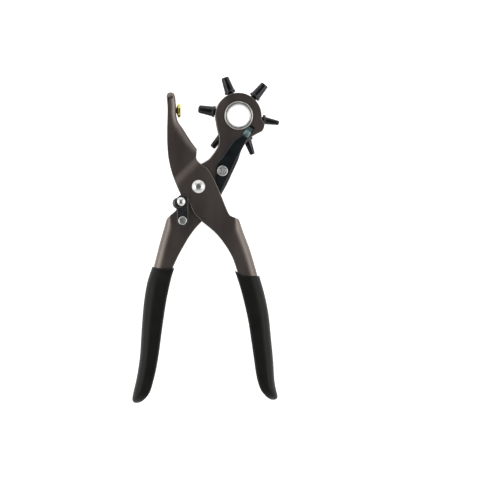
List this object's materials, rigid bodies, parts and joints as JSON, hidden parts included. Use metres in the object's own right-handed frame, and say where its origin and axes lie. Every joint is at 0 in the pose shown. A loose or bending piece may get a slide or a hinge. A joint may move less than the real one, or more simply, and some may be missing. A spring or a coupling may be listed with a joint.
{
  "type": "revolving leather punch",
  "caption": "Hand punch for leather: crossed sheet-steel levers with vinyl grips, a brass anvil on one jaw and a turning turret of screw-in tube cutters on the other, plus a swing latch.",
  "frame": {"origin": "on the main pivot's axis, at the flat rear head of the pivot rivet, which is the surface that the tool lies on", "axes": "+Y from the handles to the jaws, +X from the anvil jaw to the turret, +Z along the pivot's axis, up and out of the front face"},
  "size_m": [0.1013, 0.2257, 0.0234],
  "materials": {
    "gunmetal_steel": "dark gunmetal plating, satin",
    "nickel_steel": "bright nickel plating",
    "brass": "turned, polished",
    "blued_spring_steel": "tempered blue-black",
    "black_oxide_steel": "black oxide, glossy",
    "hub_steel": "dark oiled steel",
    "black_vinyl": "satin dipped vinyl"
  },
  "bodies": {
    "anvil_side": {"anvil_lever": "gunmetal_steel", "pivot_rivet": "nickel_steel", "pivot_bush": "nickel_steel", "anvil_pad": "brass", "opening_spring": "blued_spring_steel", "grip_right": "black_vinyl"},
    "turret_side": {"turret_lever": "gunmetal_steel", "turret_eyelet": "nickel_steel", "turret_washer_front": "nickel_steel", "turret_washer_rear": "nickel_steel", "index_spring_rivet": "nickel_steel", "jaw_spacer": "nickel_steel", "latch_rivet": "nickel_steel", "latch_spacer": "nickel_steel", "grip_left": "black_vinyl"},
    "turret": {"turret_hub": "hub_steel", "punch_tube_3_2mm": "black_oxide_steel", "punch_tube_4_0mm": "black_oxide_steel", "punch_tube_4_8mm": "black_oxide_steel", "punch_tube_2_0mm": "black_oxide_steel", "punch_tube_2_4mm": "black_oxide_steel", "punch_tube_2_8mm": "black_oxide_steel"},
    "index_leaf": {"index_spring": "blued_spring_steel"},
    "latch": {"latch_plate": "black_oxide_steel", "latch_stud": "nickel_steel"}
  },
  "joints": [
    {"name": "handle_pivot", "type": "hinge", "parent": "anvil_side", "child": "turret_side", "pos_m": [0, 0, 0.0109], "axis": [0, 0, 1], "range_deg": [0, 12.5], "stiffness_Nm_per_rad": 1, "springref_deg": -22.92},
    {"name": "turret_spin", "type": "hinge", "parent": "turret_side", "child": "turret", "pos_m": [0.0277, 0.0489, 0.0109], "axis": [0, 0, 1], "continuous": true},
    {"name": "index_spring_flex", "type": "hinge", "parent": "turret_side", "child": "index_leaf", "pos_m": [0.0165, 0.0108, 0.0189], "axis": [0.8387, -0.5446, 0], "range_deg": [0, 1.8], "stiffness_Nm_per_rad": 1, "springref_deg": -1.15},
    {"name": "latch_swing", "type": "hinge", "parent": "turret_side", "child": "latch", "pos_m": [-0.0109, -0.0234, 0.0211], "axis": [0, 0, 1], "range_deg": [-25, 0]}
  ]
}
